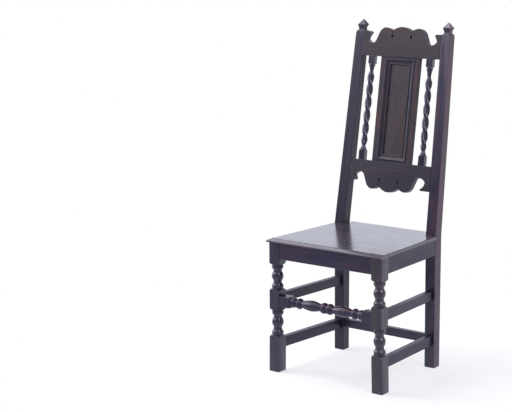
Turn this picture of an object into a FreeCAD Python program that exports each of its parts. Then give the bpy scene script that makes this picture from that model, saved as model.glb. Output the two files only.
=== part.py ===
import FreeCAD, Part
import Sketcher
import math
import os

# A joined oak side chair with a wainscot back: turned front legs and stretcher, twist spindles,
# a framed panel and two scalloped rails. Millimetres, +Z up, the front of the chair faces -Y.
# Heights are from the floor, and y is measured back from the front of the front legs.

SIZES = [
    # The whole chair
    ("total_height", 1120, "floor to the points of the finials"),
    ("seat_height", 441, "floor to the top of the seat"),
    ("front_width", 434, "over the outer faces of the front legs"),
    ("rear_width", 398, "over the outer faces of the rear posts at the seat"),
    ("back_width", 366, "over the outer faces of the rear posts at their tops"),
    ("post_distance", 338, "front of the front legs to the front of the rear posts"),
    ("back_setback", 101, "how far the back leans from the seat to the post tops"),
    # Rear posts
    ("post_top", 1075, "floor to the start of the finials"),
    ("post_width", 37, "post across, up to the seat"),
    ("post_foot_depth", 27, "post front to back, at the floor"),
    ("post_seat_depth", 38, "post front to back, at the seat"),
    ("post_top_width", 34, "post across, at its top"),
    ("post_top_depth", 30, "post front to back, at its top"),
    ("arris", 1.4, "worn corner of the posts and legs"),
    # Rails of the back, measured along its slope
    ("lower_rail_rise", 222, "seat to the top edge of the lower back rail"),
    ("back_opening", 347, "between the two scalloped rails"),
    ("rail_thickness", 21, "scalloped rails"),
    ("rail_lobe", 99.4, "straight edge of a scalloped rail to its middle lobe"),
    ("crest_cusp", 86, "crest rail: straight edge to the cusps beside the middle lobe"),
    ("lower_back_cusp", 82, "lower back rail: straight edge to those cusps"),
    ("crest_side_lobe", 96, "crest rail: straight edge to the side lobes"),
    ("lower_back_side_lobe", 93.5, "lower back rail: straight edge to the side lobes"),
    ("crest_right_hook", 79.5, "crest rail: straight edge to the top of its right hooked end"),
    ("crest_left_hook", 82, "crest rail: straight edge to the top of its left hooked end"),
    ("lower_back_right_hook", 81.5, "lower back rail: straight edge to the foot of its right hook"),
    ("lower_back_left_hook", 70.5, "lower back rail: straight edge to the foot of its left hook"),
    ("crest_notch_rise", 43, "crest rail: straight edge to the bottom of the notches"),
    ("lower_back_notch_rise", 40, "lower back rail: straight edge to the top of the notches"),
    ("cusp_out", 36.5, "middle of the back to a cusp"),
    ("side_lobe_out", 66, "middle of the back to a side lobe"),
    ("shoulder_out", 86, "middle of the back to the outer shoulder of a side lobe"),
    ("notch_out", 115, "middle of the back to the bottom of a notch"),
    ("crest_notch_wall", 136, "crest rail: middle of the back to the outer wall of a notch"),
    ("lower_back_notch_wall", 139.5, "lower back rail: middle to the outer wall of a notch"),
    ("crest_right_tip", 126, "crest rail: middle of the back to the tip of its right hook"),
    ("crest_left_tip", 123.5, "crest rail: middle of the back to the tip of its left hook"),
    ("lower_back_right_tip", 121, "lower back rail: middle to the tip of its right hook"),
    ("lower_back_left_tip", 134, "lower back rail: middle to the tip of its left hook"),
    ("notch_radius", 17, "rounding of the notches"),
    ("crest_eye_rise", 66.5, "crest rail: straight edge to the centre of a round hole"),
    ("lower_back_eye_rise", 61, "lower back rail: straight edge to the centre of a round hole"),
    ("eye_width", 8, "round hole through a rail"),
    # Panel and what holds it
    ("muntin_out", 74.5, "middle of the back to the outer edge of a muntin"),
    ("muntin_width", 32, "muntin across"),
    ("muntin_thickness", 16, "muntin front to back"),
    ("muntin_setback", 4, "rail face to muntin face"),
    ("muntin_flat", 12.5, "bare band of a muntin outside the moulding"),
    ("moulding_width", 25, "moulding round the panel"),
    ("moulding_depth", 6.5, "moulding at its outer edge"),
    ("panel_thickness", 5.5, "panel"),
    ("panel_tongue", 6, "how far the panel runs into its frame"),
    # Twist spindles
    ("spindle_top_out", 112.4, "middle of the back to a spindle, at its top"),
    ("spindle_foot_out", 116.8, "middle of the back to a spindle, at its foot"),
    ("spindle_block", 21.5, "square block at each end of a spindle"),
    ("spindle_top_block", 26.5, "length of the top block"),
    ("spindle_foot_block", 32.5, "length of the bottom block"),
    ("left_top_collar", 23.5, "length of the taper under the top block of the left spindle"),
    ("right_top_collar", 31.7, "length of the taper under the top block of the right spindle"),
    ("spindle_foot_collar", 16, "length of the collar on the bottom block"),
    ("twist_lobe", 43.3, "length of one lobe of a twist"),
    ("twist_width", 21.5, "twist over its lobes"),
    ("twist_waist", 12, "twist at its waists"),
    ("twist_neck", 12.5, "round neck at each end of the twist"),
    ("spindle_pin", 10, "square pin of a spindle in its rail"),
    ("spindle_pin_length", 12, "length of that pin"),
    # Seat
    ("seat_thickness", 9, "seat boards"),
    ("nosing", 9, "seat in front of the front legs"),
    ("side_nosing", 5, "seat beside the front legs"),
    ("rear_nosing", 4, "seat beside the rear posts"),
    ("seat_rear", 390, "front of the front legs to the rear edge of the seat"),
    ("board_joint", 175, "front of the front legs to the joint of the boards"),
    ("thumb_width", 24, "thumb moulding along the front of the seat"),
    ("thumb_quirk", 1, "step where the thumb moulding starts"),
    ("thumb_drop", 4, "fall of the thumb moulding"),
    ("side_round", 6, "rounding of the side edges of the seat"),
    # Seat rails
    ("seat_rail_depth", 54.5, "seat rails, top to bottom"),
    ("seat_rail_thickness", 22, "side seat rails"),
    ("front_rail_thickness", 20, "front and rear seat rails"),
    ("front_rail_setback", 2, "leg face to front rail face"),
    ("rear_rail_setback", 7, "post face to rear rail face"),
    ("side_rail_setback", 2, "leg face to side rail face, at the front"),
    ("side_rail_flush", 0.5, "post face to side rail face, at the rear"),
    # Front legs
    ("leg_square", 39, "square blocks of the front legs"),
    ("top_turning_top", 357, "floor to the upper end of the upper turning"),
    ("top_turning_foot", 276, "floor to the lower end of the upper turning"),
    ("low_turning_top", 206, "floor to the upper end of the lower turning"),
    ("low_turning_foot", 121.5, "floor to the lower end of the lower turning"),
    ("block_shoulder", 6, "slope that the turning leaves on the ends of a block"),
    # Front stretcher
    ("stretcher_axis", 238, "floor to the axis of the front stretcher"),
    ("stretcher_square", 36, "square ends of the front stretcher"),
    ("stretcher_turning", 280, "turned length of the front stretcher"),
    # Plain stretchers
    ("side_stretcher_thickness", 20, "side stretchers"),
    ("side_stretcher_setback", 8, "leg face to side stretcher face, at the front"),
    ("side_stretcher_inset", 8.5, "post face to side stretcher face, at the rear"),
    ("upper_stretcher_height", 228, "floor to the underside of an upper side stretcher"),
    ("upper_stretcher_depth", 31, "upper side stretcher, top to bottom"),
    ("lower_stretcher_height", 76, "floor to the underside of a lower side stretcher"),
    ("lower_stretcher_depth", 34, "lower side stretcher, top to bottom"),
    ("rear_stretcher_height", 81, "floor to the underside of the rear stretcher"),
    ("rear_stretcher_depth", 29, "rear stretcher, top to bottom"),
    ("rear_stretcher_thickness", 18, "rear stretcher"),
    ("rear_stretcher_setback", 5, "post face to rear stretcher face"),
    ("board_arris", 1.2, "worn corner of rails and stretchers"),
    # Joints
    ("tenon_thickness", 8, "tenons"),
    ("tenon_length", 20, "tenons of the side rails and side stretchers"),
    ("back_tenon_length", 21, "tenons of the scalloped rails"),
    ("back_tenon_width", 57, "those tenons, up and down the back"),
    ("muntin_tenon_thickness", 6, "tenons of the muntins"),
    ("muntin_tenon_length", 14, "length of those tenons"),
    ("tenon_shoulder", 6, "edge of a rail to the edge of its tenon"),
    ("tenon_root", 4, "how far a tenon is worked back into a slanting shoulder"),
    ("tenon_gap", 2, "wood left between two tenons that meet in one leg"),
    ("peg_width", 6, "pegs through the joints"),
    ("peg_proud", 0.5, "how far a peg stands out of the wood"),
    ("peg_bite", 1.5, "how far a peg runs on past its tenon"),
    ("board_peg_length", 28, "pegs through the seat boards"),
    # Shared by all cuts
    ("overrun", 10, "how far a cutting shape runs on past the wood"),
]

# Outline of a leg's turning, from its foot: shares of its length and of half the leg's square.
# A pair of points is an arc: the point it passes, and the point where it ends.
LEG_TURNING_SHARES = [
    [(0.000, 0.90)],
    [(0.020, 0.90)],
    [(0.090, 0.985), (0.165, 0.92)],
    [(0.275, 0.70), (0.365, 0.79)],
    [(0.525, 0.985), (0.665, 0.80)],
    [(0.730, 0.71), (0.800, 0.80)],
    [(0.905, 0.98), (0.980, 0.90)],
    [(1.000, 0.90)],
]

# Outline of one half of the front stretcher, from its middle: shares of half its turned length
# and of half its square
STRETCHER_TURNING_SHARES = [
    [(0.000, 0.72)],
    [(0.010, 0.80)],
    [(0.078, 0.985), (0.145, 0.80)],
    [(0.155, 0.61)],
    [(0.171, 0.61)],
    [(0.283, 0.82), (0.411, 0.985)],
    [(0.545, 0.87), (0.685, 0.61)],
    [(0.707, 0.61)],
    [(0.716, 0.80)],
    [(0.770, 0.975), (0.822, 0.80)],
    [(0.832, 0.66)],
    [(0.850, 0.68)],
    [(0.895, 0.84), (0.950, 0.90)],
    [(1.000, 0.88)],
]

# Finial: shares of its height, of the post's top width and of the post's top depth
FINIAL_SHARES = [
    (0.17, 0.90, 0.88),
    (0.19, 0.73, 0.66),
    (0.25, 0.65, 0.57),
    (0.32, 0.63, 0.55),
    (0.40, 0.66, 0.58),
    (0.48, 0.74, 0.65),
    (0.56, 0.85, 0.74),
    (0.63, 0.87, 0.75),
    (1.00, 0.06, 0.06),
]

# Moulding, from its outer edge: shares of its width and of its depth
MOULDING_SHARES = [
    [(0.00, 1.00)],
    [(0.19, 1.00)],
    [(0.33, 1.40), (0.47, 0.92)],
    [(0.78, 0.46)],
    [(0.89, 0.78), (1.00, 0.44)],
    [(1.00, 0.00)],
]

# Points of a scalloped rail between its named corners, as shares of the rounding of its notches
HOOK_NOSE_SHARES = (0.3, 0.3)
HOOK_TURN_SHARES = (0.22, 0.6)
WALL_TOP_SHARE = 1.35
NOTCH_TURN_SHARES = (0.38, 0.35)
NOTCH_END_SHARES = (0.95, 0.5)
NOTCH_RISE_SHARES = (0.6, 0.12)
SHOULDER_TURN_SHARES = (0.45, 0.35)
# Fall from a side lobe to its shoulder, as a share of the distance between them
SHOULDER_FALL_SHARE = 0.72
# How full the lobes are halfway to a cusp: shares of the rise from the cusp to the lobe
SIDE_LOBE_SHARE = 0.72
MIDDLE_LOBE_SHARE = 0.75

# Collars of a spindle: shares of the collar's length, of the block and of the ring
FOOT_RING_SHARE = 0.42
TOP_RING_SHARE = 0.33
RING_WIDTH_SHARE = 0.97
TAPER_WIDTH_SHARE = 0.92

# Middle point of the thumb moulding: shares of its width and of its drop
THUMB_SHARES = (0.45, 0.26)
# Worn corner of the finials, as a share of that of the posts
FINIAL_ARRIS_SHARE = 0.5
# How far the corner of a square stands beyond its faces, as a share of half the square
CORNER_SHARE = math.sqrt(2) - 1

# Places of the pegs: shares of the rail's depth, of the rail's length or of the tenon's length
SEAT_RAIL_PEG_SHARES = (0.3, 0.7)
BACK_FRAME_PEG_SHARES = (0.22, 0.78)
SIDE_BOARD_PEG_SHARES = (0.35, 0.85)
CROSS_BOARD_PEG_SHARE = 0.6
REAR_TENON_PEG_SHARE = 0.4

SECTIONS_PER_LOBE = 6
TWIST_SIDES = 12
PEG_SIDES = 8
# Direction of the broad side halfway down the first lobe, seen from above, in degrees from +X
TWIST_START = 38
# Two places closer than this count as one
TINY = 1e-6
# An edge goes mainly one way when this share of its length does
ALONG_SHARE = 0.9

doc = FreeCAD.newDocument("WainscotChair")
sheet = doc.addObject("Spreadsheet::Sheet", "Sizes")
for row, (alias, number, meaning) in enumerate(SIZES, start=1):
    sheet.set(f"A{row}", meaning)
    sheet.set(f"B{row}", str(number))
    sheet.setAlias(f"B{row}", alias)
doc.recompute()


class Size:
    """A length, together with the formula that binds it to the named sizes."""

    def __init__(self, value, formula):
        self.value = float(value)
        self.formula = formula

    def __float__(self):
        return self.value

    def __add__(self, other):
        return Size(self.value + float(other), f"({self.formula} + {formula(other)})")

    def __radd__(self, other):
        return as_size(other) + self

    def __sub__(self, other):
        return Size(self.value - float(other), f"({self.formula} - {formula(other)})")

    def __rsub__(self, other):
        return as_size(other) - self

    def __mul__(self, other):
        return Size(self.value * float(other), f"({self.formula} * {formula(other)})")

    def __rmul__(self, other):
        return self * other

    def __truediv__(self, other):
        return Size(self.value / float(other), f"({self.formula} / {formula(other)})")

    def __neg__(self):
        return self * -1


class NamedSizes:
    """The cells of the sheet by their names."""

    def __getattr__(self, alias):
        return Size(sheet.get(alias), "Sizes." + alias)


def formula(number):
    return number.formula if isinstance(number, Size) else f"({number})"


def as_size(number):
    return number if isinstance(number, Size) else Size(number, formula(number))


def larger(first, second):
    return Size(max(float(first), float(second)), f"max({first.formula}; {second.formula})")


mm = NamedSizes()
pieces = []

# Slope of the back
back_rise = mm.post_top - mm.seat_height
back_slope = Size(
    math.hypot(float(back_rise), float(mm.back_setback)),
    f"hypot({back_rise.formula}; {formula(mm.back_setback)})",
)
lean_angle = f"atan2({formula(mm.back_setback)}; {back_rise.formula})"
lean_cos = back_rise / back_slope
lean_sin = mm.back_setback / back_slope

# Rear posts: half widths at the seat and at the top, and the finial that grows from the top
post_outer = mm.rear_width / 2
post_inner = post_outer - mm.post_width
post_top_outer = mm.back_width / 2
post_top_inner = post_top_outer - mm.post_top_width
post_top_front = mm.post_distance + mm.back_setback
post_top_middle = post_top_front + mm.post_top_depth / 2
finial_height = mm.total_height - mm.post_top

# The middle of the chair's whole depth is where y is 0
cap_share = FINIAL_SHARES[-2]
cap_rear = (
    post_top_middle
    + finial_height * cap_share[0] * mm.back_setback / back_rise
    + mm.post_top_depth * cap_share[2] / 2
)
rear_edge = larger(cap_rear, post_top_front + mm.post_top_depth)
depth_middle = (rear_edge - mm.nosing) / 2

# Seat rails, stretchers and legs
zero = as_size(0)
leg_outer = mm.front_width / 2
leg_inner = leg_outer - mm.leg_square
leg_middle = leg_outer - mm.leg_square / 2
rail_top = mm.seat_height - mm.seat_thickness
rail_foot = rail_top - mm.seat_rail_depth
rail_outer_front = leg_outer - mm.side_rail_setback
rail_outer_rear = post_outer - mm.side_rail_flush
rail_middle_front = rail_outer_front - mm.seat_rail_thickness / 2
rail_middle_rear = rail_outer_rear - mm.seat_rail_thickness / 2
stretcher_half = mm.side_stretcher_thickness / 2
stretcher_out = leg_outer - mm.side_stretcher_setback - stretcher_half
stretcher_in = post_outer - mm.side_stretcher_inset - stretcher_half

# Back frame, measured up its slope from the seat
lower_edge = mm.lower_rail_rise
upper_edge = mm.lower_rail_rise + mm.back_opening
panel_front = mm.muntin_setback + mm.moulding_depth
muntin_inner = mm.muntin_out - mm.muntin_width
moulding_outer = mm.muntin_out - mm.muntin_flat
field_edge = moulding_outer - mm.moulding_width


def bind(item, **sizes):
    """Tie properties to the sheet; two underscores stand for a dot."""
    for name, value in sizes.items():
        item.setExpression(name.replace("__", "."), formula(value))


def place(item, x, y, z, leaning=False, forward=False):
    """Put an item's own zero at a point of the chair, or of its leaning back.

    In the back, x stays, y goes into the thickness and z goes up the slope from the seat.
    An item that is turned forward has its own z along y.
    """
    angles = ["90 deg"] * forward + [lean_angle] * leaning
    if angles:
        item.Placement = FreeCAD.Placement(
            FreeCAD.Vector(), FreeCAD.Rotation(FreeCAD.Vector(-1, 0, 0), 1)
        )
        item.setExpression("Placement.Rotation.Angle", " + ".join(angles))
    if leaning:
        y, z = (
            mm.post_distance + y * lean_cos + z * lean_sin,
            mm.seat_height - y * lean_sin + z * lean_cos,
        )
    bind(item, Placement__Base__x=x, Placement__Base__y=y - depth_middle, Placement__Base__z=z)


def slab(name, x, y, z, leaning=False):
    """A box between two places along each direction."""
    item = doc.addObject("Part::Box", name)
    bind(item, Length=x[1] - x[0], Width=y[1] - y[0], Height=z[1] - z[0])
    place(item, x[0], y[0], z[0], leaning)
    return item


def fuse(name, *items):
    joined = doc.addObject("Part::MultiFuse", name)
    joined.Shapes = list(items)
    return joined


def cut(name, base, *tools):
    result = doc.addObject("Part::Cut", name)
    result.Base = base
    result.Tool = tools[0] if len(tools) == 1 else fuse(name + "_tools", *tools)
    return result


def group(name, items):
    held = doc.addObject("Part::Compound", name)
    held.Links = list(items)
    return held


def mirrored(name, source):
    image = doc.addObject("Part::Mirroring", name)
    image.Source = source
    image.Normal = FreeCAD.Vector(1, 0, 0)
    return image


def keep(item, label, twin_label=None):
    """List a finished piece, and its mirror image if the chair has one."""
    item.Label = label
    pieces.append(item)
    if twin_label:
        keep(mirrored(twin_label, item), twin_label)


def new_body(name, x=zero, y=zero, z=zero, leaning=False):
    body = doc.addObject("PartDesign::Body", name)
    place(body, x, y, z, leaning)
    return body


def new_sketch(body, name, role, offset=zero):
    """A sketch on one of the body's own planes, moved off it by an offset."""
    sketch = body.newObject("Sketcher::SketchObject", name)
    plane = next(item for item in body.Origin.OriginFeatures if item.Role == role)
    sketch.AttachmentSupport = (plane, [""])
    sketch.MapMode = "FlatFace"
    bind(sketch, AttachmentOffset__Base__z=offset)
    return sketch


def vector(point):
    return FreeCAD.Vector(float(point[0]), float(point[1]), 0)


def fix_point(sketch, index, position, point):
    """Hold a point of a sketch at its two named distances from the origin."""
    for kind, axis, size in (("DistanceX", -2, point[0]), ("DistanceY", -1, point[1])):
        if abs(float(size)) < TINY:
            sketch.addConstraint(Sketcher.Constraint("PointOnObject", index, position, axis))
            continue
        ends = (-1, 1, index, position)
        if float(size) < 0:
            ends = (index, position, -1, 1)
            size = -size
        held = sketch.addConstraint(Sketcher.Constraint(kind, *ends, float(size)))
        sketch.setExpression(f"Constraints[{held}]", formula(size))


def draw(sketch, start, steps):
    """Close an outline of lines and arcs; a step is a corner, or a point passed and a corner."""
    corners = [start] + [step[-1] for step in steps]
    joints = []
    for begin, end, step in zip(corners, corners[1:] + corners[:1], steps + [[start]]):
        first, last = vector(begin), vector(end)
        if len(step) == 1:
            index = sketch.addGeometry(Part.LineSegment(first, last))
            joints.append((index, 1, 2))
            continue
        passed = vector(step[0])
        turn = (passed - first).cross(last - passed).z
        arc = Part.Arc(first, passed, last) if turn > 0 else Part.Arc(last, passed, first)
        index = sketch.addGeometry(arc)
        joints.append((index, 1, 2) if turn > 0 else (index, 2, 1))
        mark = sketch.addGeometry(Part.Point(passed), True)
        fix_point(sketch, mark, 1, step[0])
        sketch.addConstraint(Sketcher.Constraint("PointOnObject", mark, 1, index))
    for place_in_list, (index, first_end, last_end) in enumerate(joints):
        following = joints[(place_in_list + 1) % len(joints)]
        sketch.addConstraint(
            Sketcher.Constraint("Coincident", index, last_end, following[0], following[1])
        )
        fix_point(sketch, index, first_end, corners[place_in_list])


def pad(body, sketch, length, reverse=False, middle=False):
    feature = body.newObject("PartDesign::Pad", sketch.Name + "_pad")
    feature.Profile = sketch
    feature.Reversed = reverse
    feature.Midplane = middle
    bind(feature, Length=length)
    return feature


def pocket_through(body, sketch):
    """Cut a sketch through the whole body, both ways."""
    feature = body.newObject("PartDesign::Pocket", sketch.Name + "_pocket")
    feature.Profile = sketch
    feature.Type = "ThroughAll"
    feature.Midplane = True
    return feature


def ease_edges(body, feature, chosen, size, kind="PartDesign::Chamfer"):
    """Chamfer or round the edges that a test chooses."""
    doc.recompute()
    names = [f"Edge{number}" for number, edge in enumerate(feature.Shape.Edges, 1) if chosen(edge)]
    eased = body.newObject(kind, feature.Name + "_eased")
    eased.Base = (feature, names)
    bind(eased, **{"Size" if kind.endswith("Chamfer") else "Radius": size})
    return eased


def runs_along(edge, axis, least):
    """True for a straight edge that goes mainly one way and is long enough."""
    ends = edge.Vertexes[-1].Point - edge.Vertexes[0].Point
    return abs(getattr(ends, axis)) > max(ALONG_SHARE * ends.Length, float(least))


def peg(name, x, y, z, leaning=False):
    """An eight-sided peg; it runs the way that is given as a pair of places."""
    item = doc.addObject("Part::Prism", name)
    item.Polygon = PEG_SIDES
    reach = next(run for run in (x, y, z) if isinstance(run, tuple))
    bind(item, Circumradius=mm.peg_width / 2, Height=reach[1] - reach[0])
    if reach is x:
        across = FreeCAD.Rotation(FreeCAD.Vector(0, 1, 0), 90)
        item.Placement = FreeCAD.Placement(FreeCAD.Vector(), across)
        place(item, x[0], y, z)
    elif reach is y:
        place(item, x, y[0], z, leaning, forward=True)
    else:
        place(item, x, y, z[0])
    return item


def both_sides(items):
    """Items on the right, and their mirror images on the left."""
    return items + [mirrored(item.Name + "_twin", item) for item in items]


def span(middle, size):
    return (middle - size / 2, middle + size / 2)


def shared_steps(shares, place_point):
    """Turn an outline given in shares into sizes."""
    return [[place_point(*pair) for pair in step] for step in shares]


def reversed_steps(steps):
    """The same outline walked from its last corner back to its first."""
    walked = []
    for step, earlier in zip(steps[:0:-1], steps[-2::-1]):
        walked.append(step[:-1] + [earlier[-1]])
    return walked


def post_depth(height):
    """Front to back size of a rear post at a height below the seat."""
    return mm.post_foot_depth + (mm.post_seat_depth - mm.post_foot_depth) * height / mm.seat_height


def rail_size(rail, name):
    """A size that the crest rail and the lower back rail don't share."""
    return getattr(mm, f"{rail}_{name}")


def post_inner_at(rise):
    """Inner face of a rear post at a distance up the back."""
    return post_inner - (post_inner - post_top_inner) * rise / back_slope


# Tenons and pegs come first: each tenon is joined to its rail and cut from the post or leg that
# takes it, and each peg is cut from both.


def tenons():
    """Tenons on the right side, by the name of the rail that carries them."""
    thick = mm.tenon_thickness
    side_near = rail_middle_front - thick / 2
    side_far = rail_middle_rear - thick / 2
    made = {}
    rail_z = (rail_foot + mm.tenon_shoulder, rail_top - mm.tenon_shoulder)
    made["side_rail_front"] = slab(
        "side_rail_front_tenon",
        span(rail_middle_front, thick),
        (mm.leg_square - mm.tenon_length, mm.leg_square),
        rail_z,
    )
    made["side_rail_rear"] = slab(
        "side_rail_rear_tenon",
        span(rail_middle_rear, thick),
        (mm.post_distance, mm.post_distance + mm.tenon_length),
        rail_z,
    )
    front_middle = mm.front_rail_setback + mm.front_rail_thickness / 2
    made["front_rail"] = slab(
        "front_rail_tenon", (leg_inner, side_near - mm.tenon_gap), span(front_middle, thick), rail_z
    )
    rear_middle = mm.post_distance + mm.rear_rail_setback + mm.front_rail_thickness / 2
    made["rear_rail"] = slab(
        "rear_rail_tenon", (post_inner, side_far - mm.tenon_gap), span(rear_middle, thick), rail_z
    )
    for level, foot, depth in (
        ("upper", mm.upper_stretcher_height, mm.upper_stretcher_depth),
        ("lower", mm.lower_stretcher_height, mm.lower_stretcher_depth),
    ):
        z = (foot + mm.tenon_shoulder, foot + depth - mm.tenon_shoulder)
        made[level + "_front"] = slab(
            level + "_stretcher_front_tenon",
            span(stretcher_out, thick),
            (mm.leg_square - mm.tenon_length, mm.leg_square),
            z,
        )
        made[level + "_rear"] = slab(
            level + "_stretcher_rear_tenon",
            span(stretcher_in, thick),
            (mm.post_distance, mm.post_distance + mm.tenon_length),
            z,
        )
    made["front_stretcher"] = slab(
        "front_stretcher_tenon",
        (leg_inner, stretcher_out - thick / 2 - mm.tenon_gap),
        span(mm.leg_square / 2, thick),
        span(mm.stretcher_axis, mm.stretcher_square - mm.tenon_shoulder * 2),
    )
    low_middle = mm.post_distance + mm.rear_stretcher_setback + mm.rear_stretcher_thickness / 2
    made["rear_stretcher"] = slab(
        "rear_stretcher_tenon",
        (post_inner, stretcher_in - thick / 2 - mm.tenon_gap),
        span(low_middle, thick),
        (
            mm.rear_stretcher_height + mm.tenon_shoulder,
            mm.rear_stretcher_height + mm.rear_stretcher_depth - mm.tenon_shoulder,
        ),
    )
    for name, edge, way in (("crest", upper_edge, 1), ("lower_back", lower_edge, -1)):
        ends = (
            edge + mm.tenon_shoulder * way,
            edge + (mm.tenon_shoulder + mm.back_tenon_width) * way,
        )
        inner = post_inner_at(edge + (mm.tenon_shoulder + mm.back_tenon_width / 2) * way)
        made[name] = slab(
            name + "_tenon",
            (inner - mm.tenon_root, inner + mm.back_tenon_length),
            span(mm.rail_thickness / 2, thick),
            ends if way > 0 else ends[::-1],
            leaning=True,
        )
    return made


def seat_rail_pegs():
    """Two pegs through each end of a seat rail, one through each end of the rear rail."""
    made = []
    front_tenon_middle = (leg_inner + rail_middle_front - mm.tenon_thickness / 2) / 2
    front_rear_face = mm.front_rail_setback + mm.front_rail_thickness / 2 + mm.tenon_thickness / 2
    rear_tenon_middle = (post_inner + rail_middle_rear - mm.tenon_thickness / 2) / 2
    rear_tenon_front = (
        mm.post_distance
        + mm.rear_rail_setback
        + mm.front_rail_thickness / 2
        - mm.tenon_thickness / 2
    )
    for number, level_share in enumerate(SEAT_RAIL_PEG_SHARES, start=1):
        z = rail_foot + mm.seat_rail_depth * level_share
        made.append(
            peg(
                f"front_rail_peg_{number}",
                front_tenon_middle,
                (-mm.peg_proud, front_rear_face + mm.peg_bite),
                z,
            )
        )
        made.append(
            peg(
                f"side_rail_front_peg_{number}",
                (rail_middle_front - mm.tenon_thickness / 2 - mm.peg_bite, leg_outer + mm.peg_proud),
                mm.leg_square - mm.tenon_length / 2,
                z,
            )
        )
        made.append(
            peg(
                f"side_rail_rear_peg_{number}",
                (rail_middle_rear - mm.tenon_thickness / 2 - mm.peg_bite, post_outer + mm.peg_proud),
                mm.post_distance + mm.tenon_length * REAR_TENON_PEG_SHARE,
                z,
            )
        )
    z = rail_foot + mm.seat_rail_depth / 2
    made.append(
        peg(
            "rear_rail_peg",
            rear_tenon_middle,
            (rear_tenon_front - mm.peg_bite, mm.post_distance + post_depth(z) + mm.peg_proud),
            z,
        )
    )
    return both_sides(made)


def stretcher_pegs():
    """One peg through each end of a stretcher."""
    made = [
        peg(
            "front_stretcher_peg",
            (leg_inner + stretcher_out - mm.tenon_thickness / 2) / 2,
            (-mm.peg_proud, mm.leg_square / 2 + mm.tenon_thickness / 2 + mm.peg_bite),
            mm.stretcher_axis,
        )
    ]
    for level, foot, depth in (
        ("upper", mm.upper_stretcher_height, mm.upper_stretcher_depth),
        ("lower", mm.lower_stretcher_height, mm.lower_stretcher_depth),
    ):
        z = foot + depth / 2
        made.append(
            peg(
                level + "_stretcher_front_peg",
                (
                    stretcher_out - mm.tenon_thickness / 2 - mm.peg_bite,
                    leg_outer + mm.peg_proud,
                ),
                mm.leg_square - mm.tenon_length / 2,
                z,
            )
        )
        made.append(
            peg(
                level + "_stretcher_rear_peg",
                (
                    stretcher_in - mm.tenon_thickness / 2 - mm.peg_bite,
                    post_outer + mm.peg_proud,
                ),
                mm.post_distance + mm.tenon_length * REAR_TENON_PEG_SHARE,
                z,
            )
        )
    z = mm.rear_stretcher_height + mm.rear_stretcher_depth / 2
    tenon_front = (
        mm.post_distance
        + mm.rear_stretcher_setback
        + mm.rear_stretcher_thickness / 2
        - mm.tenon_thickness / 2
    )
    made.append(
        peg(
            "rear_stretcher_peg",
            (post_inner + stretcher_in - mm.tenon_thickness / 2) / 2,
            (tenon_front - mm.peg_bite, mm.post_distance + post_depth(z) + mm.peg_proud),
            z,
        )
    )
    return both_sides(made)


def back_frame_pegs():
    """Two pegs through each end of a scalloped rail."""
    made = []
    for name, edge, way in (("crest", upper_edge, 1), ("lower_back", lower_edge, -1)):
        halfway = mm.tenon_shoulder + mm.back_tenon_width / 2
        middle = post_inner_at(edge + halfway * way) + mm.back_tenon_length / 2
        for number, level_share in enumerate(BACK_FRAME_PEG_SHARES, start=1):
            made.append(
                peg(
                    f"{name}_peg_{number}",
                    middle,
                    (-mm.peg_proud, mm.rail_thickness / 2 + mm.tenon_thickness / 2 + mm.peg_bite),
                    edge + (mm.tenon_shoulder + mm.back_tenon_width * level_share) * way,
                    leaning=True,
                )
            )
    return both_sides(made)


def seat_board_pegs():
    """Pegs that hold the seat boards down on the rails."""
    z = (mm.seat_height - mm.board_peg_length, mm.seat_height)
    front_y = mm.front_rail_setback + mm.front_rail_thickness / 2
    rear_y = mm.post_distance + mm.rear_rail_setback + mm.front_rail_thickness / 2
    made = [
        peg("front_board_peg", leg_inner * CROSS_BOARD_PEG_SHARE, front_y, z),
        peg("rear_board_peg", post_inner * CROSS_BOARD_PEG_SHARE, rear_y, z),
    ]
    for number, along_share in enumerate(SIDE_BOARD_PEG_SHARES, start=1):
        x = rail_middle_front + (rail_middle_rear - rail_middle_front) * along_share
        y = mm.leg_square + (mm.post_distance - mm.leg_square) * along_share
        made.append(peg(f"side_board_peg_{number}", x, y, z))
    return both_sides(made)


def corners(x, y, nip):
    """The corners of an upright timber's section, each cut off by a small nip."""
    return [
        (x[0] + nip, y[0]),
        (x[1] - nip, y[0]),
        (x[1], y[0] + nip),
        (x[1], y[1] - nip),
        (x[1] - nip, y[1]),
        (x[0] + nip, y[1]),
        (x[0], y[1] - nip),
        (x[0], y[0] + nip),
    ]


def rear_post(mortises):
    """One timber, bent at the seat, with the finial cut from its top."""
    body = new_body("post_timber")
    levels = [
        (zero, (post_inner, post_outer), (mm.post_distance, mm.post_distance + mm.post_foot_depth)),
        (
            mm.seat_height,
            (post_inner, post_outer),
            (mm.post_distance, mm.post_distance + mm.post_seat_depth),
        ),
        (
            mm.post_top,
            (post_top_inner, post_top_outer),
            (post_top_front, post_top_front + mm.post_top_depth),
        ),
    ]
    nips = [mm.arris] * len(levels)
    for height_share, width_share, depth_share in FINIAL_SHARES:
        rise = finial_height * height_share
        middle_x = (post_top_inner + post_top_outer) / 2 - (
            (post_inner - post_top_inner) * rise / back_rise
        )
        middle_y = post_top_middle + mm.back_setback * rise / back_rise
        levels.append(
            (
                mm.post_top + rise,
                span(middle_x, mm.post_top_width * width_share),
                span(middle_y, mm.post_top_depth * depth_share),
            )
        )
        nips.append(mm.arris * depth_share * FINIAL_ARRIS_SHARE)
    sketches = []
    for number, ((z, x, y), nip) in enumerate(zip(levels, nips)):
        sketch = new_sketch(body, f"post_section_{number}", "XY_Plane", z)
        outline = corners(x, y, nip)
        draw(sketch, outline[0], [[point] for point in outline[1:]])
        sketches.append(sketch)
    loft = body.newObject("PartDesign::AdditiveLoft", "post_loft")
    loft.Profile = sketches[0]
    loft.Sections = sketches[1:]
    loft.Ruled = True
    keep(cut("rear_post", body, *mortises), "rear_post_right", "rear_post_left")


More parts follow.
